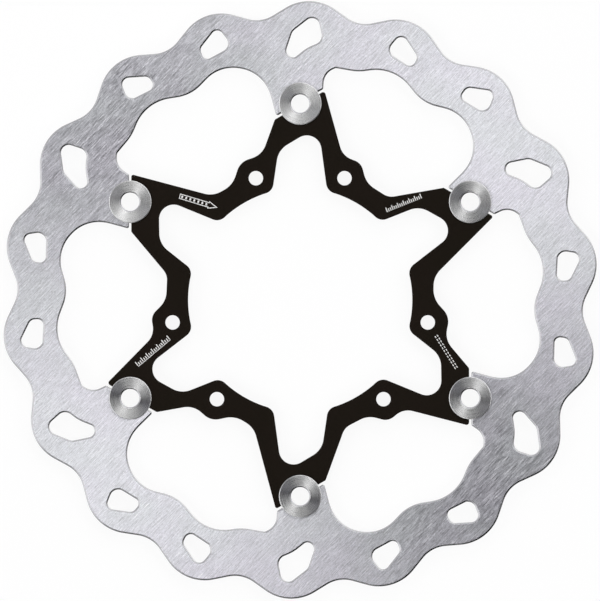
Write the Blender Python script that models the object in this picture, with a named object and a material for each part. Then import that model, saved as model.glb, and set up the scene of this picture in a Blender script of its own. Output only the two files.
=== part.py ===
"""Semi-floating motorcycle front brake disc, 270 mm, as an assembly of its separate pieces.

A wavy steel friction ring is carried on a flat aluminium carrier by six drive
bobbins.  Each bobbin has a flange on the front, passes through a round seat that
is cut half in the ring and half in the carrier, and is held from behind by a
wave washer, a flat washer and a circlip.  The ring is free to move a little
along the axis; each bobbin can turn in its seat.

Frame: the spin axis is +Z, the front (flange side) is up, and the origin is on
the axis in the plane of the bobbin tails, so the disc lies on its tails at z = 0.
Lengths below are in millimetres and angles in degrees; the meshes are in metres.
"""

import math

import bmesh
import bpy
from mathutils import Matrix, Vector

# ----------------------------------------------------------------- dimensions
MM = 0.001

# heights above the plane of the bobbin tails
CARRIER_Z = (2.45, 6.45)       # 4.0 mm plate
CARRIER_LUG_Z = 3.25           # back of the plate where it is relieved round a bobbin
RING_Z = (3.45, 6.45)          # 3.0 mm friction ring
FLANGE_Z = 6.50                # underside of the bobbin flange
BOBBIN_TOP = 7.60
CIRCLIP_Z = (0.50, 1.40)
FLAT_WASHER_Z = (1.45, 2.25)
WAVE_WASHER_Z = (2.30, 3.20)   # over the crests

# friction ring
LOBES = 18                     # waves round the rim
LOBE_PHASE = 8.0               # angle of one crest
CREST_R = 135.0                # 270 mm over the crests
TROUGH_R = 127.7
CREST_FILLET = 20.0
TROUGH_FILLET = 14.5

# bobbins and their seats
BOBBINS = 6
BOBBIN_PHASE = 90.0
BOBBIN_CIRCLE_R = 88.65        # 177.3 mm pitch circle
SEAT_R = 6.15                  # half-round seat in ring and carrier
SHANK_R = 6.0
BORE_R = 4.25
FLANGE_R = 9.6
GROOVE_R = 5.4                 # circlip groove
SLIT = 1.0                     # gap between ring and carrier at a seat
SLIT_TURN = -60.0              # the slit's direction, from the bobbin's own angle
TAB_OUT, TAB_IN = 12.3, -12.2  # ends of the ring's tab along the slit
EAR_OUT, EAR_IN = 12.45, -13.55  # ends of the carrier's ear along the slit

# hub interface
BOLT_CIRCLE_R = 58.5           # 117 mm pitch circle
BOLT_HOLE_R = 3.25             # M6 clearance
BOLT_ANGLES = (70.0, 110.0)    # repeated every 120 degrees
PILOT_R = 50.6                 # 101.2 mm, clears the wheel hub's spigot
LUG_RELIEF_R = 10.5            # circular relief on the carrier's back, for the washers

# small parts
WASHER_BORE_R = 6.15
FLAT_WASHER_R = 9.0
WAVE_WASHER_R = 8.75
WAVE_WASHER_T = 0.4
WAVES = 3
CLIP_IN_R, CLIP_OUT_R, CLIP_LUG_R = 5.55, 7.3, 8.9
CLIP_GAP, CLIP_LUG = 14.0, 34.0  # half angles of the gap and of the lugs' far side
CLIP_HOLE_R = 0.75

CHORD_ERROR = 0.1              # largest distance from a chord to its arc
TURN_STEPS = 20                # steps round a small turned part
WAVE_STEPS = 24                # steps round a wave washer, eight to a wave


# ----------------------------------------------------------------- plane geometry
def polar(radius, angle):
    a = math.radians(angle)
    return radius * math.cos(a), radius * math.sin(a)


def turned_point(point, angle):
    """A sketch point, and its corner radius, turned about the spin axis."""
    x, y, r = point
    c, s = math.cos(math.radians(angle)), math.sin(math.radians(angle))
    return x * c - y * s, x * s + y * c, r


def rounded(points):
    """A closed outline through (x, y, corner radius) points, with each corner rounded."""
    out = []
    for i, (x, y, r) in enumerate(points):
        p = Vector((x, y))
        if r <= 0:
            out.append(p)
            continue
        u = (Vector(points[i - 1][:2]) - p).normalized()
        v = (Vector(points[(i + 1) % len(points)][:2]) - p).normalized()
        half = u.angle(v) / 2
        centre = p + (u + v).normalized() * (r / math.sin(half))
        start = p + u * (r / math.tan(half)) - centre
        end = p + v * (r / math.tan(half)) - centre
        a0 = math.atan2(start.y, start.x)
        turn = (math.atan2(end.y, end.x) - a0 + math.pi) % (2 * math.pi) - math.pi
        steps = max(2, math.ceil(abs(turn) / (2 * math.acos(max(0.0, 1 - CHORD_ERROR / r)))))
        for k in range(steps + 1):
            a = a0 + turn * k / steps
            out.append(centre + Vector((math.cos(a), math.sin(a))) * r)
    return out


def circle(radius, cx=0.0, cy=0.0, steps=TURN_STEPS):
    return [
        Vector((cx + radius * math.cos(2 * math.pi * k / steps), cy + radius * math.sin(2 * math.pi * k / steps)))
        for k in range(steps)
    ]


def slit_point(angle, along, across, r=0.0):
    """A point beside a bobbin: along its slit, and across it (positive towards the ring)."""
    cx, cy = polar(BOBBIN_CIRCLE_R, angle)
    sx, sy = polar(1.0, angle + SLIT_TURN)
    nx, ny = polar(1.0, angle + SLIT_TURN + 90.0)
    return cx + sx * along + nx * across, cy + sy * along + ny * across, r


def seat(angle, side):
    """The half-round seat of one bobbin, in the ring (side +1) or the carrier (side -1)."""
    lip = math.degrees(math.asin(SLIT / 2 / SEAT_R))
    steps = 10
    for k in range(steps + 1):
        a = 180.0 - lip - (180.0 - 2 * lip) * k / steps
        x, y = polar(SEAT_R, a)
        yield slit_point(angle, x, side * y)


# ----------------------------------------------------------------- the two plates' outlines
def rim_outline():
    """The wavy rim: crests and troughs are arcs joined by their common tangents."""
    half = math.radians(180.0 / LOBES)
    crest, trough = CREST_R, TROUGH_R
    for _ in range(60):  # corners of the zigzag whose rounded tips touch both radii
        edge = Vector((trough * math.cos(half) - crest, trough * math.sin(half)))
        at_crest = edge.angle(Vector((-1.0, 0.0)))
        at_trough = (-edge).angle(Vector((math.cos(half), math.sin(half))))
        crest = CREST_R + CREST_FILLET * (1 / math.sin(at_crest) - 1)
        trough = TROUGH_R - TROUGH_FILLET * (1 / math.sin(at_trough) - 1)
    points = []
    for k in range(LOBES):
        a = LOBE_PHASE + 360.0 * k / LOBES
        points.append((*polar(crest, a), CREST_FILLET))
        points.append((*polar(trough, a + 180.0 / LOBES), TROUGH_FILLET))
    return rounded(points)


# One window of the ring's inner edge, clockwise from the tab of the bobbin at 90
# degrees to the tab of the bobbin at 30 degrees: corner radius and angle, fillet.
RING_WINDOW = (
    (102.9, 83.9, 7.0),    # up the side of the tab
    (105.9, 81.3, 1.8),    # small lip
    (106.2, 75.7, 22.0),   # first hollow wave
    (113.3, 68.1, 19.2),
    (104.75, 58.0, 18.6),
    (112.15, 48.8, 16.8),
    (104.2, 39.7, 16.7),
    (93.65, 38.2, 25.0),   # down the long side of the next tab
    (90.05, 37.95, 0.0),
)

# One third of the carrier's outer edge, clockwise from the ear of the bobbin at 150
# degrees, round the arm at 90, to the ear at 30; the ears' own corners are added.
CARRIER_OUTER_TO_A = (
    (61.3, 130.0, 10.0),   # waist between the two arms
    (60.1, 120.6, 11.0),
    (67.9, 113.6, 7.8),    # bolt boss
    (67.8, 104.7, 9.5),
)
CARRIER_OUTER_FROM_A = (
    (67.8, 73.55, 8.3),
    (67.7, 66.05, 5.8),    # bolt boss
    (60.55, 60.3, 10.0),
    (61.1, 49.25, 7.0),    # waist
)

# The loop inside one arm of the carrier, clockwise: radius, angle from the arm, fillet.
# Six loops, joined by arcs of the pilot circle, make the carrier's inner edge.
CARRIER_LOOP = (
    (50.65, 14.35, 4.9),   # tip beside the pilot edge
    (68.4, 8.25, 9.7),
    (78.9, -5.95, 6.6),
    (50.65, -13.9, 5.1),   # tip beside the pilot edge
)

# Cooling slots of the friction ring.  Each is a rounded polygon; radius, angle from
# the slot's own centre line, fillet.
SLOT_LARGE = (
    (121.35, 2.5, 4.5),
    (130.15, -2.5, 3.5),
    (117.3, -4.2, 4.1),
    (113.95, -0.7, 20.0),
    (109.15, 2.35, 2.5),
    (111.1, 4.45, 3.0),
)
SLOT_SMALL = (
    (120.4, 3.2, 3.6),
    (129.1, 1.8, 3.1),
    (122.0, -3.2, 3.0),
    (116.05, -3.2, 2.8),
    (118.0, 2.1, 1.5),
)
SLOT_SMALL_OTHER = (
    (122.05, 3.2, 3.0),
    (128.9, -1.7, 2.8),
    (121.5, -3.1, 3.9),
    (118.1, -2.5, 3.7),
    (116.15, 3.2, 2.5),
)
SLOT_PLAN = ((89.15, SLOT_LARGE), (67.4, SLOT_SMALL), (108.6, SLOT_SMALL_OTHER))  # every 60 degrees


def from_polar(points, turn=0.0):
    return [(*polar(radius, angle + turn), fillet) for radius, angle, fillet in points]


def ring_inner_outline():
    points = []
    for k in range(BOBBINS):
        turn = -60.0 * k
        here, following = BOBBIN_PHASE + turn, BOBBIN_PHASE + turn - 60.0
        points.append(slit_point(here, TAB_OUT, SLIT / 2, 0.5))
        points += from_polar(RING_WINDOW, turn)
        points.append(slit_point(following, TAB_IN, SLIT / 2, 0.6))
        points += seat(following, +1)
    return rounded(points)


def slot_outlines():
    for k in range(6):
        for angle, shape in SLOT_PLAN:
            yield rounded(from_polar(shape, angle + 60.0 * k))


def carrier_outer_outline():
    points = []
    for k in range(3):
        turn = -120.0 * k
        points.append(slit_point(150.0 + turn, EAR_OUT, -SLIT / 2, 0.9))
        points += from_polar(CARRIER_OUTER_TO_A, turn)
        points.append(slit_point(90.0 + turn, EAR_IN, -SLIT / 2, 1.5))
        points += seat(90.0 + turn, -1)
        points.append(slit_point(90.0 + turn, EAR_OUT, -SLIT / 2, 1.2))
        points += from_polar(CARRIER_OUTER_FROM_A, turn)
        points.append(slit_point(30.0 + turn, EAR_IN, -SLIT / 2, 0.9))
        points += seat(30.0 + turn, -1)
    return rounded(points)


def carrier_inner_outline():
    points = []
    for k in range(BOBBINS):
        arm = BOBBIN_PHASE - 60.0 * k
        points += from_polar(CARRIER_LOOP, arm)
        for step in range(5):  # the pilot edge, from this loop to the next
            points.append((*polar(PILOT_R, arm - 19.2 - 5.4 * step), 0.0))
    return rounded(points)


def circlip_outline():
    """An open retaining ring with two lugs, its gap towards +X."""
    inner = [polar(CLIP_IN_R, CLIP_GAP + (360.0 - 2 * CLIP_GAP) * k / 18) for k in range(19)]
    outer = [polar(CLIP_OUT_R, 360.0 - CLIP_LUG - (360.0 - 2 * CLIP_LUG) * k / 16) for k in range(17)]
    last_lug = [polar(CLIP_LUG_R, 360.0 - CLIP_GAP + 2.0), polar(CLIP_LUG_R, 360.0 - CLIP_LUG + 6.0)]
    first_lug = [polar(CLIP_LUG_R, CLIP_LUG - 6.0), polar(CLIP_LUG_R, CLIP_GAP - 2.0)]
    return [Vector(p) for p in inner + last_lug + outer + first_lug]


# ----------------------------------------------------------------- solids
def material(name, colour, metallic, roughness):
    m = bpy.data.materials.new(name)
    m.use_nodes = True
    shader = m.node_tree.nodes["Principled BSDF"]
    shader.inputs["Base Color"].default_value = (*colour, 1.0)
    shader.inputs["Metallic"].default_value = metallic
    shader.inputs["Roughness"].default_value = roughness
    return m


def add_object(name, bm, mat, parent=None, location=(0.0, 0.0, 0.0), turn=0.0):
    bmesh.ops.recalc_face_normals(bm, faces=bm.faces)
    mesh = bpy.data.meshes.new(name)
    bm.to_mesh(mesh)
    bm.free()
    mesh.materials.append(mat)
    mesh.shade_smooth()
    mesh.set_sharp_from_angle(angle=math.radians(35.0))
    return place(name, mesh, parent, location, turn)


def place(name, mesh, parent=None, location=(0.0, 0.0, 0.0), turn=0.0):
    obj = bpy.data.objects.new(name, mesh)
    bpy.context.scene.collection.objects.link(obj)
    obj.location = Vector(location) * MM
    obj.rotation_euler = (0.0, 0.0, math.radians(turn))
    obj.parent = parent
    return obj


def plate(outlines, low, high):
    """A flat plate between two heights, with its outline first and then its holes."""
    bm = bmesh.new()
    for outline in outlines:
        verts = [bm.verts.new((p.x * MM, p.y * MM, low * MM)) for p in outline]
        for i, v in enumerate(verts):
            bm.edges.new((verts[i - 1], v))
    bmesh.ops.triangle_fill(bm, use_beauty=True, use_dissolve=False, edges=bm.edges[:])
    lifted = bmesh.ops.extrude_face_region(bm, geom=bm.faces[:], use_keep_orig=True)
    top = [g for g in lifted["geom"] if isinstance(g, bmesh.types.BMVert)]
    bmesh.ops.translate(bm, verts=top, vec=(0.0, 0.0, (high - low) * MM))
    return bm


def turned(profile, steps=TURN_STEPS):
    """A closed (radius, height) profile spun once round the Z axis."""
    bm = bmesh.new()
    verts = [bm.verts.new((r * MM, 0.0, z * MM)) for r, z in profile]
    for i, v in enumerate(verts):
        bm.edges.new((verts[i - 1], v))
    bmesh.ops.spin(
        bm, geom=bm.verts[:] + bm.edges[:], cent=(0, 0, 0), axis=(0, 0, 1),
        angle=2 * math.pi, steps=steps, use_merge=True,
    )
    bmesh.ops.remove_doubles(bm, verts=bm.verts[:], dist=1e-7)
    return bm


def bobbin_mesh():
    top, out = BOBBIN_TOP, FLANGE_R
    return turned([
        (BORE_R, 0.0), (SHANK_R - 0.3, 0.0), (SHANK_R, 0.25),
        (SHANK_R, CIRCLIP_Z[0] - 0.05), (GROOVE_R, CIRCLIP_Z[0] - 0.05),
        (GROOVE_R, CIRCLIP_Z[1] + 0.05), (SHANK_R, CIRCLIP_Z[1] + 0.05),
        (SHANK_R, FLANGE_Z), (out, FLANGE_Z), (out, top - 0.3), (out - 0.3, top),
        (BORE_R + 0.5, top - 0.35), (BORE_R, top - 0.8),
    ])


def wave_washer_mesh():
    low, high = WAVE_WASHER_Z
    middle, rise = (low + high) / 2, (high - low - WAVE_WASHER_T) / 2
    t = WAVE_WASHER_T / 2
    bm = turned([
        (WASHER_BORE_R, middle - t), (WAVE_WASHER_R, middle - t),
        (WAVE_WASHER_R, middle + t), (WASHER_BORE_R, middle + t),
    ], WAVE_STEPS)
    for v in bm.verts:
        v.co.z += rise * math.cos(WAVES * math.atan2(v.co.y, v.co.x)) * MM
    return bm


def flat_washer_mesh():
    low, high = FLAT_WASHER_Z
    return turned([(WASHER_BORE_R, low), (FLAT_WASHER_R, low), (FLAT_WASHER_R, high), (WASHER_BORE_R, high)])


def circlip_mesh():
    hole_r = (CLIP_IN_R + CLIP_LUG_R) / 2 + 0.1
    hole_a = (CLIP_GAP + CLIP_LUG) / 2 - 1.0
    holes = [circle(CLIP_HOLE_R, *polar(hole_r, a), steps=8) for a in (hole_a, -hole_a)]
    return plate([circlip_outline(), *holes], *CIRCLIP_Z)


def lug_relief_cutter(mat):
    """Six short cylinders that relieve the carrier's back round the bobbins."""
    bm = bmesh.new()
    height = CARRIER_LUG_Z - CARRIER_Z[0] + 1.0
    for k in range(BOBBINS):
        x, y = polar(BOBBIN_CIRCLE_R, BOBBIN_PHASE + 60.0 * k)
        at = Matrix.Translation(Vector((x, y, CARRIER_LUG_Z - height / 2)) * MM)
        bmesh.ops.create_cone(
            bm, cap_ends=True, segments=24, radius1=LUG_RELIEF_R * MM, radius2=LUG_RELIEF_R * MM,
            depth=height * MM, matrix=at,
        )
    cutter = add_object("lug_relief_cutter", bm, mat)
    cutter.hide_render = True
    cutter.display_type = "WIRE"
    return cutter


# ----------------------------------------------------------------- the assembly
def build():
    for obj in list(bpy.data.objects):
        bpy.data.objects.remove(obj)

    ground_steel = material("ground_stainless", (0.60, 0.59, 0.62), 1.0, 0.34)
    black_anodised = material("black_anodised", (0.014, 0.010, 0.009), 0.3, 0.55)
    turned_steel = material("turned_steel", (0.48, 0.48, 0.49), 1.0, 0.30)
    zinc_plate = material("zinc_plated_washer", (0.56, 0.57, 0.58), 1.0, 0.38)
    spring_steel = material("blued_spring_steel", (0.16, 0.15, 0.15), 1.0, 0.42)

    add_object("brake_ring", plate([rim_outline(), ring_inner_outline(), *slot_outlines()], *RING_Z), ground_steel)

    bolt_holes = [
        circle(BOLT_HOLE_R, *polar(BOLT_CIRCLE_R, angle + 120.0 * k), steps=16)
        for k in range(3) for angle in BOLT_ANGLES
    ]
    carrier = add_object(
        "carrier", plate([carrier_outer_outline(), carrier_inner_outline(), *bolt_holes], *CARRIER_Z), black_anodised
    )
    relief = carrier.modifiers.new("lug_relief", "BOOLEAN")
    relief.operation = "DIFFERENCE"
    relief.solver = "EXACT"
    relief.object = lug_relief_cutter(black_anodised)

    small_parts = (
        ("bobbin", bobbin_mesh, turned_steel, 0.0),
        ("wave_washer", wave_washer_mesh, spring_steel, 0.0),
        ("flat_washer", flat_washer_mesh, zinc_plate, 0.0),
        ("circlip", circlip_mesh, spring_steel, 180.0),
    )
    meshes = {}
    for k in range(BOBBINS):
        angle = BOBBIN_PHASE - 60.0 * k
        pivot = bpy.data.objects.new(f"bobbin_axis_{k + 1}", None)
        bpy.context.scene.collection.objects.link(pivot)
        pivot.location = Vector((*polar(BOBBIN_CIRCLE_R, angle), 0.0)) * MM
        pivot.rotation_euler = (0.0, 0.0, math.radians(angle))
        for name, make, mat, turn in small_parts:
            if name not in meshes:
                meshes[name] = add_object(f"{name}_{k + 1}", make(), mat, pivot, turn=turn).data
            else:
                place(f"{name}_{k + 1}", meshes[name], pivot, turn=turn)
    bpy.context.view_layer.update()


build()
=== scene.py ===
"""Looks of the semi-floating brake disc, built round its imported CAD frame.

Every plate and turned part is rebuilt here as a fine mesh on the same dimensions
as its CAD solid, with worked edges, and gets a procedural material: straight
ground steel on the friction ring, faced steel on the bobbins, matt black
anodising on the carrier, and zinc and spring steel on the small parts behind.
The four small marks on the carrier are generic: an arrow and three tick scales.

Frame: the spin axis is +Z and the front is up.  Lengths are in millimetres and
angles in degrees unless a name says otherwise; meshes and places are in metres.
"""

import math

import bmesh
import bpy
from mathutils import Matrix, Vector


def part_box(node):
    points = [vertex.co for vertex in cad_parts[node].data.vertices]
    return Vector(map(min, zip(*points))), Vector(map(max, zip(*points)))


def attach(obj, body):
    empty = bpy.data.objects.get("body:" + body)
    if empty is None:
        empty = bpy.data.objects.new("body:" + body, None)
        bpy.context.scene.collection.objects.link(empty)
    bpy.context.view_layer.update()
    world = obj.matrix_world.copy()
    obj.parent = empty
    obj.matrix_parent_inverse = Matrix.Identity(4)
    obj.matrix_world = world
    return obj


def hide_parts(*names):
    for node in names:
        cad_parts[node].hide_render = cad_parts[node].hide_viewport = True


MM = 0.001

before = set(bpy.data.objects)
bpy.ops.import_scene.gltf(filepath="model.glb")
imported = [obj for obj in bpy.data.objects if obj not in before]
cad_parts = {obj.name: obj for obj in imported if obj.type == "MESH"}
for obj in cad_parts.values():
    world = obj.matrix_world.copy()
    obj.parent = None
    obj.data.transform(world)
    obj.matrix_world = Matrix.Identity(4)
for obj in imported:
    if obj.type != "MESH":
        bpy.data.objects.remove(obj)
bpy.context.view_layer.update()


def height(node):
    """The lowest and highest z of a CAD node, in millimetres."""
    low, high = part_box(node)
    return low.z / MM, high.z / MM


# ----------------------------------------------------------------- dimensions
RING_Z = height("brake_ring")
CARRIER_Z = height("carrier")
WAVE_Z = height("wave_washer_1")
FLAT_Z = height("flat_washer_1")
CLIP_Z = height("circlip_1")
BOBBIN_Z = height("bobbin_1")
CARRIER_LUG_Z = 3.25           # back of the plate where it is relieved round a bobbin
FLANGE_Z = 6.50                # underside of the bobbin flange

LOBES, LOBE_PHASE = 18, 8.0
CREST_R, TROUGH_R = 135.0, 127.7
CREST_FILLET, TROUGH_FILLET = 20.0, 14.5

BOBBINS, BOBBIN_PHASE = 6, 90.0
BOBBIN_CIRCLE_R = 88.65
SEAT_R, SHANK_R, BORE_R, FLANGE_R, GROOVE_R = 6.15, 6.0, 4.15, 9.6, 5.4
SLIT, SLIT_TURN = 1.0, -60.0
TAB_OUT, TAB_IN = 12.3, -12.2
EAR_OUT, EAR_IN = 12.45, -13.55

BOLT_CIRCLE_R, BOLT_HOLE_R, BOLT_ANGLES = 58.5, 3.25, (70.0, 110.0)
PILOT_R = 50.6
LUG_RELIEF_R = 10.5

WASHER_BORE_R, FLAT_WASHER_R, WAVE_WASHER_R = 6.15, 9.0, 8.75
WAVE_WASHER_T, WAVES = 0.4, 3
CLIP_IN_R, CLIP_OUT_R, CLIP_LUG_R = 5.55, 7.3, 8.9
CLIP_GAP, CLIP_LUG, CLIP_HOLE_R = 14.0, 34.0, 0.75

CHORD_ERROR = 0.008            # largest distance from a chord to its arc
TURN_STEPS = 120               # steps round a turned part

# Worked edges, from the flat face down to the wall: distance in from the outline, depth.
RING_EDGE = ((0.80, 0.0), (0.75, 0.0), (0.70, 0.015), (0.06, 0.43), (0.015, 0.50), (0.0, 0.60))
CARRIER_EDGE = ((0.34, 0.0), (0.30, 0.0), (0.27, 0.01), (0.04, 0.17), (0.01, 0.21), (0.0, 0.27))
CLIP_EDGE = ((0.16, 0.0), (0.13, 0.0), (0.07, 0.03), (0.02, 0.08), (0.0, 0.15))
MARK_EDGE = ((0.0, 0.0),)


# ----------------------------------------------------------------- plane geometry
def polar(radius, angle):
    a = math.radians(angle)
    return radius * math.cos(a), radius * math.sin(a)


def rounded(points, chord_error=CHORD_ERROR):
    """A closed outline through (x, y, corner radius) points, with each corner rounded."""
    out = []
    for i, (x, y, r) in enumerate(points):
        p = Vector((x, y))
        if r <= 0:
            out.append(p)
            continue
        u = (Vector(points[i - 1][:2]) - p).normalized()
        v = (Vector(points[(i + 1) % len(points)][:2]) - p).normalized()
        half = u.angle(v) / 2
        centre = p + (u + v).normalized() * (r / math.sin(half))
        start = p + u * (r / math.tan(half)) - centre
        end = p + v * (r / math.tan(half)) - centre
        a0 = math.atan2(start.y, start.x)
        turn = (math.atan2(end.y, end.x) - a0 + math.pi) % (2 * math.pi) - math.pi
        steps = max(4, math.ceil(abs(turn) / (2 * math.acos(max(0.0, 1 - chord_error / r)))))
        for k in range(steps + 1):
            a = a0 + turn * k / steps
            out.append(centre + Vector((math.cos(a), math.sin(a))) * r)
    return out


def circle(radius, cx=0.0, cy=0.0, steps=72):
    return [
        Vector((cx + radius * math.cos(2 * math.pi * k / steps), cy + radius * math.sin(2 * math.pi * k / steps)))
        for k in range(steps)
    ]


def arc(radius, start, end, steps):
    """Points of an arc about the origin, as (x, y, 0) sketch points."""
    return [(*polar(radius, start + (end - start) * k / steps), 0.0) for k in range(steps + 1)]


def from_polar(points, turn=0.0):
    return [(*polar(radius, angle + turn), fillet) for radius, angle, fillet in points]


def slit_point(angle, along, across, r=0.0):
    """A point beside a bobbin: along its slit, and across it (positive towards the ring)."""
    cx, cy = polar(BOBBIN_CIRCLE_R, angle)
    sx, sy = polar(1.0, angle + SLIT_TURN)
    nx, ny = polar(1.0, angle + SLIT_TURN + 90.0)
    return cx + sx * along + nx * across, cy + sy * along + ny * across, r


def seat(angle, side, lip_fillet):
    """The half-round seat of one bobbin, in the ring (side +1) or the carrier (side -1)."""
    lip = math.degrees(math.asin(SLIT / 2 / SEAT_R))
    first, steps = lip + 11.0, 48
    stops = [180.0 - lip]
    stops += [180.0 - first - (180.0 - 2 * first) * k / steps for k in range(steps + 1)]
    stops += [lip]
    for k, a in enumerate(stops):
        x, y = polar(SEAT_R, a)
        yield slit_point(angle, x, side * y, lip_fillet if k in (0, len(stops) - 1) else 0.0)


# ----------------------------------------------------------------- the plates' outlines
RING_WINDOW = (                # clockwise from one bobbin's tab to the next one's
    (102.9, 83.9, 7.0), (105.9, 81.3, 1.8), (106.2, 75.7, 22.0), (113.3, 68.1, 19.2),
    (104.75, 58.0, 18.6), (112.15, 48.8, 16.8), (104.2, 39.7, 16.7), (93.65, 38.2, 25.0),
    (90.05, 37.95, 3.0),
)
CARRIER_OUTER_TO_A = ((61.3, 130.0, 10.0), (60.1, 120.6, 11.0), (67.9, 113.6, 7.8), (67.8, 104.7, 9.5))
CARRIER_OUTER_FROM_A = ((67.8, 73.55, 8.3), (67.7, 66.05, 5.8), (60.55, 60.3, 10.0), (61.1, 49.25, 7.0))
CARRIER_LOOP = ((50.65, 14.35, 4.9), (68.4, 8.25, 9.7), (78.9, -5.95, 6.6), (50.65, -13.9, 5.1))
SLOT_LARGE = (
    (121.35, 2.5, 4.5), (130.15, -2.5, 3.5), (117.3, -4.2, 4.1),
    (113.95, -0.7, 20.0), (109.15, 2.35, 2.5), (111.1, 4.45, 3.0),
)
SLOT_SMALL = ((120.4, 3.2, 3.6), (129.1, 1.8, 3.1), (122.0, -3.2, 3.0), (116.05, -3.2, 2.8), (118.0, 2.1, 1.5))
SLOT_SMALL_OTHER = (
    (122.05, 3.2, 3.0), (128.9, -1.7, 2.8), (121.5, -3.1, 3.9), (118.1, -2.5, 3.7), (116.15, 3.2, 2.5),
)
SLOT_PLAN = ((89.15, SLOT_LARGE), (67.4, SLOT_SMALL), (108.6, SLOT_SMALL_OTHER))


def rim_outline():
    """The wavy rim: crests and troughs are arcs joined by their common tangents."""
    half = math.radians(180.0 / LOBES)
    crest, trough = CREST_R, TROUGH_R
    for _ in range(60):
        edge = Vector((trough * math.cos(half) - crest, trough * math.sin(half)))
        at_crest = edge.angle(Vector((-1.0, 0.0)))
        at_trough = (-edge).angle(Vector((math.cos(half), math.sin(half))))
        crest = CREST_R + CREST_FILLET * (1 / math.sin(at_crest) - 1)
        trough = TROUGH_R - TROUGH_FILLET * (1 / math.sin(at_trough) - 1)
    points = []
    for k in range(LOBES):
        a = LOBE_PHASE + 360.0 * k / LOBES
        points.append((*polar(crest, a), CREST_FILLET))
        points.append((*polar(trough, a + 180.0 / LOBES), TROUGH_FILLET))
    return rounded(points)


def ring_inner_outline():
    points = []
    for k in range(BOBBINS):
        here, following = BOBBIN_PHASE - 60.0 * k, BOBBIN_PHASE - 60.0 * (k + 1)
        points.append(slit_point(here, TAB_OUT, SLIT / 2, 0.9))
        points += from_polar(RING_WINDOW, -60.0 * k)
        points.append(slit_point(following, TAB_IN, SLIT / 2, 0.9))
        points += seat(following, +1, 0.9)
    return rounded(points)


def slot_outlines():
    return [rounded(from_polar(shape, angle + 60.0 * k)) for k in range(6) for angle, shape in SLOT_PLAN]


def carrier_outer_outline():
    points = []
    for k in range(3):
        turn = -120.0 * k
        points.append(slit_point(150.0 + turn, EAR_OUT, -SLIT / 2, 0.9))
        points += from_polar(CARRIER_OUTER_TO_A, turn)
        points.append(slit_point(90.0 + turn, EAR_IN, -SLIT / 2, 1.5))
        points += seat(90.0 + turn, -1, 0.5)
        points.append(slit_point(90.0 + turn, EAR_OUT, -SLIT / 2, 1.2))
        points += from_polar(CARRIER_OUTER_FROM_A, turn)
        points.append(slit_point(30.0 + turn, EAR_IN, -SLIT / 2, 0.9))
        points += seat(30.0 + turn, -1, 0.5)
    return rounded(points)


def carrier_inner_outline():
    points = []
    for k in range(BOBBINS):
        arm = BOBBIN_PHASE - 60.0 * k
        points += from_polar(CARRIER_LOOP, arm)
        points += arc(PILOT_R, arm - 19.2, arm - 40.8, 20)
    return rounded(points)


def bolt_holes():
    return [
        circle(BOLT_HOLE_R, *polar(BOLT_CIRCLE_R, angle + 120.0 * k)) for k in range(3) for angle in BOLT_ANGLES
    ]


def circlip_outline():
    """An open retaining ring with two lugs, its gap towards +X."""
    points = [(*polar(CLIP_IN_R, CLIP_GAP), 0.3)]
    points += arc(CLIP_IN_R, CLIP_GAP + 7.0, 360.0 - CLIP_GAP - 7.0, 80)
    points += [(*polar(CLIP_IN_R, -CLIP_GAP), 0.3)]
    points += [(*polar(CLIP_LUG_R, -CLIP_GAP + 2.0), 0.8), (*polar(CLIP_LUG_R, -CLIP_LUG + 6.0), 0.8)]
    points += [(*polar(CLIP_OUT_R, -CLIP_LUG), 0.5)]
    points += arc(CLIP_OUT_R, 360.0 - CLIP_LUG - 8.0, CLIP_LUG + 8.0, 72)
    points += [(*polar(CLIP_OUT_R, CLIP_LUG), 0.5)]
    points += [(*polar(CLIP_LUG_R, CLIP_LUG - 6.0), 0.8), (*polar(CLIP_LUG_R, CLIP_GAP - 2.0), 0.8)]
    return rounded(points)


# ----------------------------------------------------------------- meshes
def area(outline):
    return sum(a.cross(b) for a, b in zip(outline, outline[1:] + outline[:1])) / 2


def inset(outline, distance):
    """The outline moved to its left, mitred at its corners."""
    if distance == 0.0:
        return list(outline)
    out = []
    for i, p in enumerate(outline):
        a = (p - outline[i - 1]).normalized()
        b = (outline[(i + 1) % len(outline)] - p).normalized()
        n1, n2 = Vector((-a.y, a.x)), Vector((-b.y, b.x))
        out.append(p + (n1 + n2) * (distance / (1.0 + n1.dot(n2))))
    return out


def clean(outline):
    """The outline without points that lie on one another."""
    return [p for i, p in enumerate(outline) if (p - outline[i - 1]).length > 1e-4]


def plate(outlines, low, high, edge):
    """A flat plate with worked edges: its outline first and then its holes."""
    bm = bmesh.new()
    caps = [[], []]
    for index, outline in enumerate(outlines):
        outline = clean(outline)
        if (area(outline) > 0) != (index == 0):
            outline.reverse()       # the metal lies to the left of every outline
        levels = [(distance, high - depth) for distance, depth in edge]
        levels += [(distance, low + depth) for distance, depth in reversed(edge)]
        loops = []
        for distance, z in levels:
            loops.append([bm.verts.new((p.x * MM, p.y * MM, z * MM)) for p in inset(outline, distance)])
        for upper, lower in zip(loops, loops[1:]):
            for i in range(len(upper)):
                bm.faces.new((upper[i - 1], lower[i - 1], lower[i], upper[i]))
        for side, loop in ((0, loops[0]), (1, loops[-1])):
            caps[side] += [bm.edges.get((loop[i - 1], loop[i])) for i in range(len(loop))]
    for edges in caps:
        bmesh.ops.triangle_fill(bm, use_beauty=True, use_dissolve=False, edges=edges)
    return bm


def turned(profile, steps=TURN_STEPS):
    """A closed (radius, height) profile spun once round the Z axis."""
    bm = bmesh.new()
    rings = []
    for r, z in profile:
        rings.append([
            bm.verts.new((r * MM * math.cos(2 * math.pi * k / steps), r * MM * math.sin(2 * math.pi * k / steps), z * MM))
            for k in range(steps)
        ])
    for i, ring in enumerate(rings):
        before = rings[i - 1]
        for k in range(steps):
            bm.faces.new((before[k - 1], ring[k - 1], ring[k], before[k]))
    return bm


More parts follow.
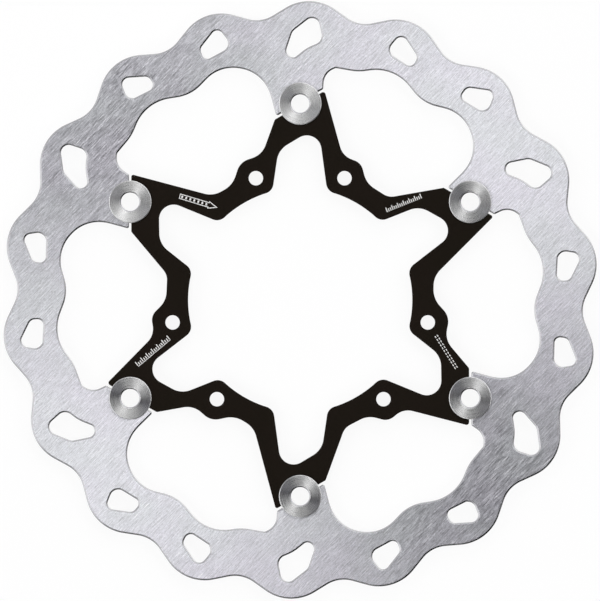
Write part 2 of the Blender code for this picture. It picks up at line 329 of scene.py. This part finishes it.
def finish_mesh(name, bm, sharp=32.0):
    bmesh.ops.recalc_face_normals(bm, faces=bm.faces)
    mesh = bpy.data.meshes.new(name)
    bm.to_mesh(mesh)
    bm.free()
    mesh.shade_smooth()
    mesh.set_sharp_from_angle(angle=math.radians(sharp))
    return mesh


def crisp(mesh, levels):
    """Keeps a chamfer flat in its shading: the loops at these heights (mm) are sharp."""
    for edge in mesh.edges:
        a, b = (mesh.vertices[i].co.z / MM for i in edge.vertices)
        if abs(a - b) < 1e-4 and any(abs(a - level) < 2e-3 for level in levels):
            edge.use_edge_sharp = True
    return mesh


def crisp_plate(mesh, low, high, edge):
    (_, first), (_, last) = edge[2:4]
    return crisp(mesh, (high - first, high - last, low + first, low + last))


def bobbin_mesh():
    top = BOBBIN_Z[1]
    low, high = CLIP_Z[0] - 0.05, CLIP_Z[1] + 0.05
    out = FLANGE_R
    return turned([
        (BORE_R, 0.30), (BORE_R + 0.05, 0.17), (BORE_R + 0.30, 0.0),
        (SHANK_R - 0.32, 0.0), (SHANK_R - 0.12, 0.06), (SHANK_R, 0.26),
        (SHANK_R, low - 0.03), (SHANK_R - 0.03, low), (GROOVE_R, low),
        (GROOVE_R, high), (SHANK_R - 0.03, high), (SHANK_R, high + 0.03),
        (SHANK_R, FLANGE_Z - 0.25), (SHANK_R - 0.15, FLANGE_Z - 0.15), (SHANK_R - 0.15, FLANGE_Z),
        (out - 0.12, FLANGE_Z), (out - 0.03, FLANGE_Z + 0.03), (out, FLANGE_Z + 0.12),
        (out, top - 0.30), (out - 0.01, top - 0.25), (out - 0.03, top - 0.20), (out - 0.27, top - 0.02),
        (out - 0.30, top - 0.006), (out - 0.35, top - 0.006),
        (BORE_R + 0.60, top - 0.34), (BORE_R + 0.54, top - 0.345),
        (BORE_R + 0.50, top - 0.365), (BORE_R + 0.04, top - 0.70), (BORE_R + 0.01, top - 0.76),
        (BORE_R, top - 0.92),
    ])


def ring_profile(inner, outer, low, high, corner):
    return [
        (inner, low + corner), (inner + corner * 0.3, low + corner * 0.3), (inner + corner, low),
        (outer - corner, low), (outer - corner * 0.3, low + corner * 0.3), (outer, low + corner),
        (outer, high - corner), (outer - corner * 0.3, high - corner * 0.3), (outer - corner, high),
        (inner + corner, high), (inner + corner * 0.3, high - corner * 0.3), (inner, high - corner),
    ]


def wave_washer_mesh():
    low, high = WAVE_Z
    middle, t = (low + high) / 2, WAVE_WASHER_T / 2
    rise = (high - low - WAVE_WASHER_T) / 2
    bm = turned(ring_profile(WASHER_BORE_R, WAVE_WASHER_R, middle - t, middle + t, 0.09), 144)
    for v in bm.verts:
        v.co.z += rise * math.cos(WAVES * math.atan2(v.co.y, v.co.x)) * MM
    return bm


def flat_washer_mesh():
    return turned(ring_profile(WASHER_BORE_R, FLAT_WASHER_R, *FLAT_Z, 0.14))


def circlip_mesh():
    hole_r = (CLIP_IN_R + CLIP_LUG_R) / 2 + 0.1
    hole_a = (CLIP_GAP + CLIP_LUG) / 2 - 1.0
    holes = [circle(CLIP_HOLE_R, *polar(hole_r, a), steps=28) for a in (hole_a, -hole_a)]
    return plate([circlip_outline(), *holes], *CLIP_Z, CLIP_EDGE)


# ----------------------------------------------------------------- materials
class Graph:
    """The node tree of one material, with short calls to add and join nodes."""

    def __init__(self, tree):
        self.tree = tree
        tree.nodes.clear()

    def add(self, kind, inputs=None, **settings):
        node = self.tree.nodes.new(kind)
        for key, value in settings.items():
            setattr(node, key, value)
        for key, value in (inputs or {}).items():
            self.put(node.inputs[key], value)
        return node

    def put(self, socket, value):
        if isinstance(value, bpy.types.NodeSocket):
            self.tree.links.new(value, socket)
        else:
            socket.default_value = value

    def math(self, operation, *values, clamp=False):
        node = self.add("ShaderNodeMath", dict(enumerate(values)), operation=operation)
        node.use_clamp = clamp
        return node.outputs[0]

    def vector(self, operation, a, b=None):
        node = self.add("ShaderNodeVectorMath", {0: a}, operation=operation)
        if b is not None:
            self.put(node.inputs[1], b)
        return node.outputs["Value" if operation in ("DOT_PRODUCT", "LENGTH") else "Vector"]

    def noise(self, vector, scale=1.0, detail=2.0, roughness=0.5, distortion=0.0):
        return self.add("ShaderNodeTexNoise", {
            "Vector": vector, "Scale": scale, "Detail": detail, "Roughness": roughness, "Distortion": distortion,
        }).outputs[0]

    def spread(self, value, amount, centre=0.5, middle=1.0):
        """A value about `centre`, turned into a factor about `middle`."""
        return self.math("MULTIPLY_ADD", self.math("SUBTRACT", value, centre), amount, middle)

    def ramp(self, value, *stops):
        """A colour ramp through (position, colour) stops."""
        node = self.add("ShaderNodeValToRGB", {"Fac": value})
        ramp = node.color_ramp
        while len(ramp.elements) > 1:
            ramp.elements.remove(ramp.elements[-1])
        for k, (position, colour) in enumerate(stops):
            element = ramp.elements[0] if k == 0 else ramp.elements.new(position)
            element.position = position
            element.color = (*colour, 1.0) if len(colour) == 3 else colour
        return node.outputs["Color"]

    def scaled(self, colour, *factors):
        """A colour times one or more grey factors."""
        for factor in factors:
            colour = self.vector("MULTIPLY", colour, factor)
        return colour

    def mix(self, factor, a, b):
        node = self.add("ShaderNodeMix", {"Factor": factor}, data_type="RGBA")
        for key, value in (("A", a), ("B", b)):
            socket = [s for s in node.inputs if s.name == key and s.type == "RGBA"][0]
            self.put(socket, value)
        return [s for s in node.outputs if s.type == "RGBA"][0]

    def bump(self, heights, distance, strength=1.0):
        return self.add("ShaderNodeBump", {
            "Height": heights, "Distance": distance, "Strength": strength,
        }).outputs["Normal"]

    def surface(self, **inputs):
        shader = self.add("ShaderNodeBsdfPrincipled")
        for key, value in inputs.items():
            self.put(shader.inputs[key.replace("_", " ")], value)
        out = self.add("ShaderNodeOutputMaterial")
        self.tree.links.new(shader.outputs[0], out.inputs["Surface"])
        return shader


def new_material(name):
    m = bpy.data.materials.new(name)
    m.use_nodes = True
    return m, Graph(m.node_tree)


def streaks(g, position, direction, length_mm, width_mm, detail=2.0, roughness=0.5, shift=0.0):
    """Straight grinding lines: noise drawn out along one direction of the plane."""
    turned_in = g.add("ShaderNodeVectorRotate", {
        "Vector": position, "Axis": (0.0, 0.0, 1.0), "Angle": math.radians(-direction),
    }, rotation_type="AXIS_ANGLE").outputs[0]
    scale = (1.0 / (length_mm * MM), 1.0 / (width_mm * MM), 40.0)
    return g.noise(g.vector("ADD", g.vector("MULTIPLY", turned_in, scale), (shift, shift * 1.7, 0.0)), 1.0, detail, roughness)


GRIND = 45.0                   # direction of the grinding lines


def ground_steel():
    """The friction faces: steel ground in straight lines, with the sheen of a ring."""
    m, g = new_material("ground_steel")
    position = g.add("ShaderNodeTexCoord").outputs["Object"]
    broad = streaks(g, position, GRIND, 6.5, 0.38, 1.0, 0.5)
    fine = streaks(g, position, GRIND + 2.0, 3.4, 0.27, 1.0, 0.5, 3.1)
    grain = streaks(g, position, GRIND, 0.95, 0.24, 0.0, 0.5, 11.3)
    hair = streaks(g, position, GRIND + 1.0, 5.0, 0.11, 0.0, 0.5, 17.9)
    score = streaks(g, position, GRIND - 2.0, 9.0, 0.42, 0.0, 0.5, 7.7)
    score = g.math("SMOOTH_MIN", 1.0, g.math("MULTIPLY", g.math("SUBTRACT", score, 0.66, clamp=True), 9.0), 0.1)
    cloud = g.noise(position, 55.0, 2.0, 0.5)
    warm = g.noise(g.vector("ADD", position, (0.31, 0.17, 0.0)), 34.0, 1.0, 0.5)
    tint = g.mix(g.math("MULTIPLY_ADD", g.math("SUBTRACT", warm, 0.5), 3.0, 0.5, clamp=True),
                 (0.689, 0.697, 0.725, 1.0), (0.699, 0.687, 0.741, 1.0))
    colour = g.scaled(
        tint, g.spread(broad, 0.62), g.spread(fine, 0.56), g.spread(grain, 0.60), g.spread(hair, 0.60), g.spread(cloud, 0.10),
        g.math("MULTIPLY_ADD", score, 0.12, 1.0),
    )
    stroke = g.math("ADD", g.math("SUBTRACT", broad, 0.5), g.math("SUBTRACT", fine, 0.5))
    heights = g.math("ADD", g.math("MULTIPLY", fine, 0.5), g.math("MULTIPLY", hair, 0.5))
    tangent = g.add("ShaderNodeTangent", direction_type="RADIAL", axis="Z").outputs[0]
    g.surface(
        Base_Color=colour, Metallic=1.0,
        Roughness=0.46,
        Anisotropic=g.math("SUBTRACT", 0.66, g.math("MULTIPLY", stroke, 0.9), clamp=True),
        Anisotropic_Rotation=0.25, Tangent=tangent,
        Normal=g.bump(heights, 0.00001, 1.0),
    )
    return m


def cut_steel():
    """The ring's cut edges and their chamfers: darker, and not ground."""
    m, g = new_material("cut_steel_edge")
    position = g.add("ShaderNodeTexCoord").outputs["Object"]
    lines = g.noise(g.vector("MULTIPLY", position, (900.0, 900.0, 5200.0)), 1.0, 2.0, 0.6)
    grain = g.noise(position, 1500.0, 2.0, 0.6)
    colour = g.scaled((0.45, 0.45, 0.46), g.spread(grain, 0.3), g.spread(lines, 0.2))
    g.surface(
        Base_Color=colour, Metallic=1.0, Roughness=g.spread(lines, 0.2, middle=0.22),
        Normal=g.bump(lines, 0.000004, 0.5),
    )
    return m


def black_anodised():
    m, g = new_material("black_anodised")
    position = g.add("ShaderNodeTexCoord").outputs["Object"]
    grain = g.noise(position, 3600.0, 3.0, 0.6)
    cloud = g.noise(position, 60.0, 3.0, 0.55)
    colour = g.mix(g.math("MULTIPLY_ADD", g.math("SUBTRACT", cloud, 0.5), 2.2, 0.5, clamp=True),
                   (0.0056, 0.0036, 0.0013, 1.0), (0.0070, 0.0040, 0.0021, 1.0))
    g.surface(
        Base_Color=g.scaled(colour, g.spread(grain, 0.6)), Metallic=0.0,
        Roughness=g.spread(grain, 0.35, middle=0.56), Specular_IOR_Level=0.08,
        Normal=g.bump(grain, 0.000012, 0.5),
    )
    return m


def faced_steel():
    """The bobbins: steel faced on a lathe, with fine rings round their axis."""
    m, g = new_material("faced_steel")
    position = g.add("ShaderNodeTexCoord").outputs["Object"]
    flat = g.vector("MULTIPLY", position, (1.0, 1.0, 0.0))
    radius = g.vector("LENGTH", flat)
    around = g.add("ShaderNodeCombineXYZ", {"X": g.math("MULTIPLY", radius, 9000.0)}).outputs[0]
    rings = g.noise(g.vector("ADD", around, g.vector("MULTIPLY", position, (60.0, 60.0, 3000.0))), 1.0, 3.0, 0.65)
    brushed = streaks(g, position, GRIND, 5.0, 0.4, 2.0, 0.5, 5.0)
    colour = g.scaled((0.622, 0.622, 0.62), g.spread(rings, 0.25), g.spread(brushed, 0.28))
    tangent = g.add("ShaderNodeTangent", direction_type="RADIAL", axis="Z").outputs[0]
    g.surface(
        Base_Color=colour, Metallic=1.0, Roughness=g.spread(rings, 0.2, middle=0.28),
        Anisotropic=0.90, Anisotropic_Rotation=0.2015, Tangent=tangent,
        Normal=g.bump(rings, 0.000004, 0.5),
    )
    return m


def zinc_plate():
    m, g = new_material("zinc_plate")
    position = g.add("ShaderNodeTexCoord").outputs["Object"]
    grain = g.noise(position, 900.0, 4.0, 0.6)
    cloud = g.noise(position, 160.0, 2.0, 0.5)
    colour = g.mix(cloud, (0.52, 0.53, 0.56, 1.0), (0.64, 0.63, 0.60, 1.0))
    g.surface(
        Base_Color=g.scaled(colour, g.spread(grain, 0.3)), Metallic=1.0,
        Roughness=g.spread(grain, 0.4, middle=0.36), Normal=g.bump(grain, 0.000008, 0.5),
    )
    return m


def spring_steel():
    m, g = new_material("spring_steel")
    position = g.add("ShaderNodeTexCoord").outputs["Object"]
    grain = g.noise(position, 1400.0, 3.0, 0.6)
    cloud = g.noise(position, 220.0, 2.0, 0.5)
    colour = g.mix(cloud, (0.20, 0.19, 0.18, 1.0), (0.29, 0.27, 0.25, 1.0))
    g.surface(
        Base_Color=g.scaled(colour, g.spread(grain, 0.5)), Metallic=1.0,
        Roughness=g.spread(grain, 0.4, middle=0.32), Normal=g.bump(grain, 0.000006, 0.5),
    )
    return m


def etched_mark():
    m, g = new_material("etched_mark")
    position = g.add("ShaderNodeTexCoord").outputs["Object"]
    grain = g.noise(position, 2600.0, 2.0, 0.6)
    g.surface(
        Base_Color=g.scaled((0.68, 0.675, 0.665), g.spread(grain, 0.5)), Metallic=0.0,
        Roughness=0.7, Specular_IOR_Level=0.3,
    )
    return m


# ----------------------------------------------------------------- pieces
def add_piece(name, mesh, body, slot, nodes=(), materials=(), location=(0.0, 0.0, 0.0), turn=0.0):
    if not mesh.materials:          # six pieces share each small part's mesh
        for m in materials:
            mesh.materials.append(m)
    obj = bpy.data.objects.new(name, mesh)
    bpy.context.scene.collection.objects.link(obj)
    obj.location = Vector(location) * MM
    obj.rotation_euler = (0.0, 0.0, math.radians(turn))
    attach(obj, body)
    if nodes:
        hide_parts(*nodes)
    return obj


def build_ring():
    outlines = [rim_outline(), ring_inner_outline(), *slot_outlines()]
    mesh = finish_mesh("friction_ring", plate(outlines, *RING_Z, RING_EDGE))
    crisp_plate(mesh, *RING_Z, RING_EDGE)
    for face in mesh.polygons:
        face.material_index = 0 if abs(face.normal.z) > 0.9 else 1
    return add_piece(
        "friction_ring", mesh, "ring", "friction_steel", ["brake_ring"], [ground_steel(), cut_steel()],
    )


def relieved(obj):
    """Six short cylinders cut from the carrier's back make room for the washers."""
    bm = bmesh.new()
    depth = CARRIER_LUG_Z - CARRIER_Z[0] + 1.0
    for k in range(BOBBINS):
        x, y = polar(BOBBIN_CIRCLE_R, BOBBIN_PHASE + 60.0 * k)
        at = Matrix.Translation(Vector((x, y, CARRIER_LUG_Z - depth / 2)) * MM)
        bmesh.ops.create_cone(
            bm, cap_ends=True, segments=144, radius1=LUG_RELIEF_R * MM, radius2=LUG_RELIEF_R * MM,
            depth=depth * MM, matrix=at,
        )
    cutter = bpy.data.objects.new("lug_relief_cutter", finish_mesh("lug_relief_cutter", bm))
    bpy.context.scene.collection.objects.link(cutter)
    cut = obj.modifiers.new("lug_relief", "BOOLEAN")
    cut.operation, cut.solver, cut.object = "DIFFERENCE", "EXACT", cutter
    bpy.context.view_layer.update()
    mesh = bpy.data.meshes.new_from_object(obj.evaluated_get(bpy.context.evaluated_depsgraph_get()))
    obj.modifiers.remove(cut)
    bpy.data.objects.remove(cutter)
    mesh.shade_smooth()
    mesh.set_sharp_from_angle(angle=math.radians(32.0))
    obj.data = crisp_plate(mesh, *CARRIER_Z, CARRIER_EDGE)
    return obj


def build_carrier():
    outlines = [carrier_outer_outline(), carrier_inner_outline(), *bolt_holes()]
    mesh = finish_mesh("carrier_plate", plate(outlines, *CARRIER_Z, CARRIER_EDGE))
    obj = add_piece("carrier_plate", mesh, "carrier", "carrier_black", ["carrier"], [black_anodised()])
    return relieved(obj)


def build_hardware():
    steel, plated, spring = [faced_steel(), bpy.data.materials["cut_steel_edge"]], [zinc_plate()], [spring_steel()]
    chamfers = [BOBBIN_Z[1] - depth for depth in (0.02, 0.20, 0.365, 0.70)]
    kinds = (
        ("bobbin", crisp(finish_mesh("bobbin_body", bobbin_mesh()), chamfers), steel, "turned_steel", 0.0),
        ("wave_washer", finish_mesh("wave_washer_body", wave_washer_mesh()), spring, "spring_steel", 0.0),
        ("flat_washer", finish_mesh("flat_washer_body", flat_washer_mesh()), plated, "washer_plate", 0.0),
        ("circlip", finish_mesh("circlip_body", circlip_mesh()), spring, "spring_steel", 180.0),
    )
    for face in kinds[0][1].polygons:
        x, y, z = face.center / MM
        face.material_index = 1 if math.hypot(x, y) < BORE_R + 0.53 and z > BOBBIN_Z[1] - 1.0 else 0
    for k in range(1, BOBBINS + 1):
        angle = BOBBIN_PHASE - 60.0 * (k - 1)
        for kind, mesh, m, slot, turn in kinds:
            add_piece(
                f"fine_{kind}_{k}", mesh, f"bobbin_{k}", slot, [f"{kind}_{k}"], m,
                (*polar(BOBBIN_CIRCLE_R, angle), 0.0), angle + turn,
            )


# ----------------------------------------------------------------- generic marks on the carrier
MARK_T = 0.03                  # how far a mark stands above the plate


def bar(x0, y0, x1, y1):
    return [Vector((x0, y0)), Vector((x1, y0)), Vector((x1, y1)), Vector((x0, y1))]


def arrow(tail, neck, tip, half, wing):
    """An arrow along +X: its shaft is `half` wide to each side, its head `wing`."""
    return [Vector(p) for p in (
        (tail, -half), (neck, -half), (neck, -wing), (tip, 0.0), (neck, wing), (neck, half), (tail, half),
    )]


def mark_arrow():
    """A hollow arrow with graduation bars in its shaft."""
    shapes = [[arrow(-9.0, 4.6, 9.0, 1.2, 1.75), inset(arrow(-9.0, 4.6, 9.0, 1.2, 1.75), 0.36)]]
    shapes += [[bar(x, -0.55, x + 0.75, 0.55)] for x in (-8.1, -6.2, -4.3, -2.4, -0.5, 1.4, 3.3)]
    return shapes


def mark_scale(length, tall, count, thick, foot):
    """A row of upright ticks, every third one full height."""
    shapes = []
    for k in range(count):
        x = -length / 2 + (length - thick) * k / (count - 1)
        top = tall / 2 if k % 3 == 0 else tall / 2 - tall * 0.34
        shapes.append([bar(x, -tall / 2 + foot, x + thick, top)])
    if foot:
        shapes.append([bar(-length / 2, -tall / 2, length / 2, -tall / 2 + foot * 0.55)])
    return shapes


def mark_dashes(length, rows, count, thick, duty):
    """Rows of dashes along the arm."""
    shapes = []
    for y in rows:
        for k in range(count):
            x = -length / 2 + length * k / count
            shapes.append([bar(x, y - thick / 2, x + length / count * duty, y + thick / 2)])
    return shapes


def build_marks():
    m = etched_mark()
    plan = (
        ("arrow", mark_arrow(), (-45.9, 44.3), -17.0),
        ("scale_a", mark_scale(17.0, 2.2, 19, 0.42, 0.0), (46.7, 43.8), 22.0),
        ("scale_b", mark_scale(19.0, 2.6, 19, 0.45, 0.5), (-66.6, -23.1), 40.0),
        ("dashes", mark_dashes(18.0, (-0.55, 0.55), 12, 0.42, 0.6), (66.1, -23.7), -58.0),
    )
    top = CARRIER_Z[1]
    for name, shapes, centre, angle in plan:
        whole = bmesh.new()
        for shape in shapes:
            part = plate(shape, top - 0.01, top + MARK_T, MARK_EDGE)
            bmesh.ops.recalc_face_normals(part, faces=part.faces)
            mesh = bpy.data.meshes.new("part")
            part.to_mesh(mesh)
            part.free()
            whole.from_mesh(mesh)
            bpy.data.meshes.remove(mesh)
        add_piece(
            f"mark_{name}", finish_mesh(f"mark_{name}", whole, 20.0), "carrier", "carrier_black",
            materials=[m], location=(*centre, 0.0), turn=angle,
        )


# ----------------------------------------------------------------- studio
def build_floor():
    """A pale floor, clear from underneath so that the disc's back can be looked at."""
    bm = bmesh.new()
    bmesh.ops.create_grid(bm, x_segments=4, y_segments=4, size=2.5)
    mesh = finish_mesh("floor", bm)
    if mesh.polygons[0].normal.z < 0:
        mesh.flip_normals()
    obj = bpy.data.objects.new("floor", mesh)
    bpy.context.scene.collection.objects.link(obj)
    obj.location = (0.0, 0.0, -0.00015)
    m, g = new_material("pale_floor")
    pale = g.surface(
        Base_Color=(0.08, 0.08, 0.08, 1.0), Roughness=1.0, Specular_IOR_Level=0.0,
        Emission_Color=(1.0, 1.0, 1.0, 1.0), Emission_Strength=0.905,
    )
    underneath = g.add("ShaderNodeNewGeometry").outputs["Backfacing"]
    clear = g.add("ShaderNodeBsdfTransparent").outputs[0]
    both = g.add("ShaderNodeMixShader", {0: underneath, 1: pale.outputs[0], 2: clear}).outputs[0]
    g.put(g.tree.get_output_node("ALL").inputs["Surface"], both)
    mesh.materials.append(m)


STUDIO_AXIS = 43.5             # azimuth of the bright fields, one on each side
SHADE_AXIS = 300.0             # azimuth where the low horizon is black


def build_world():
    """A soft studio: bright fields to the north-east and south-west, a dark one to the south-east."""
    world = bpy.data.worlds.new("studio")
    world.use_nodes = True
    bpy.context.scene.world = world
    g = Graph(world.node_tree)
    direction = g.add("ShaderNodeTexCoord").outputs["Generated"]
    u = g.vector("DOT_PRODUCT", direction, (*polar(1.0, STUDIO_AXIS), 0.0))
    v = g.vector("DOT_PRODUCT", direction, (*polar(1.0, STUDIO_AXIS - 90.0), 0.0))
    shade = g.vector("DOT_PRODUCT", direction, (*polar(1.0, SHADE_AXIS), 0.0))
    horizon = g.scaled(g.ramp(
        g.math("MULTIPLY_ADD", shade, 0.5, 0.5),
        (0.04, (0.40, 0.40, 0.41)), (0.2, (0.56, 0.56, 0.57)), (0.34, (0.66, 0.66, 0.67)), (0.5, (0.60, 0.60, 0.61)),
        (0.67, (0.30, 0.30, 0.31)), (0.79, (0.12, 0.12, 0.125)), (0.88, (0.01, 0.01, 0.01)), (1.0, (0.0, 0.0, 0.0)),
    ), (2.1, 2.1, 2.1))
    uu, vv = g.math("MULTIPLY", u, u), g.math("MULTIPLY", v, v)
    outward = g.math("ADD", uu, vv)                 # 0 at the zenith, 1 at the horizon
    turn = g.math("SQRT", g.math("DIVIDE", uu, g.math("MAXIMUM", outward, 0.0001)))  # 1 along the axis

    def field(strength, around, down):
        grey = [(place, (value, value, value)) for place, value in around]
        fade = [(place, (value, value, value)) for place, value in down]
        return g.scaled(g.ramp(turn, *grey), g.ramp(outward, *fade), (strength, strength, strength))

    overhead = field(0.77, ((0.0, 1.0), (0.3, 0.0), (0.93, 0.0), (1.0, 0.16)), ((0.05, 1.0), (0.16, 0.0)))
    beam = field(4.30, ((0.0, 0.012), (0.3, 0.0), (0.82, 0.0), (0.93, 0.26), (1.0, 1.0)),
                 ((0.05, 0.0), (0.16, 1.0), (0.28, 1.0), (0.42, 0.0)))
    panel = field(4.00, ((0.35, 0.0), (0.5, 0.48), (0.68, 1.0), (0.82, 0.97), (0.93, 0.58), (1.0, 0.20)),
                  ((0.28, 0.0), (0.42, 1.0)))
    sky = g.vector("ADD", g.scaled(overhead, (0.99, 0.98, 1.10)), g.vector("ADD", beam, panel))
    low = g.add("ShaderNodeMapRange", {
        "Value": outward, "From Min": 0.60, "From Max": 0.78,
    }, interpolation_type="SMOOTHSTEP").outputs[0]
    sky = g.mix(low, sky, horizon)
    seen = g.add("ShaderNodeLightPath").outputs["Is Camera Ray"]
    light = g.add("ShaderNodeBackground", {"Color": sky, "Strength": 1.0}).outputs[0]
    backdrop = g.add("ShaderNodeBackground", {"Color": (1.0, 1.0, 1.0, 1.0), "Strength": 0.99}).outputs[0]
    mixed = g.add("ShaderNodeMixShader", {0: seen, 1: light, 2: backdrop}).outputs[0]
    g.add("ShaderNodeOutputWorld", {"Surface": mixed})


def build_light(name, location, size, power, target=(0.0, 0.0, 0.0)):
    data = bpy.data.lights.new(name, "AREA")
    data.shape, data.size, data.energy = "DISK", size, power
    obj = bpy.data.objects.new(name, data)
    bpy.context.scene.collection.objects.link(obj)
    obj.location = location
    obj.rotation_euler = (Vector(target) - Vector(location)).to_track_quat("-Z", "Y").to_euler()
    obj.visible_camera = False
    return obj


def build_camera():
    """Straight down on the front, without perspective, the disc filling the frame."""
    data = bpy.data.cameras.new("camera")
    data.type = "ORTHO"
    data.ortho_scale = 0.27137
    data.clip_start, data.clip_end = 0.01, 10.0
    obj = bpy.data.objects.new("camera", data)
    bpy.context.scene.collection.objects.link(obj)
    obj.location = (-0.00009, -0.00025, 1.2)
    bpy.context.scene.camera = obj


bpy.context.scene.view_settings.view_transform = "Standard"
build_camera()
build_ring()
build_carrier()
build_hardware()
build_marks()
build_floor()
build_world()
build_light("softbox_north_west", (*polar(0.20, 120.0), 0.38), 0.30, 0.14)
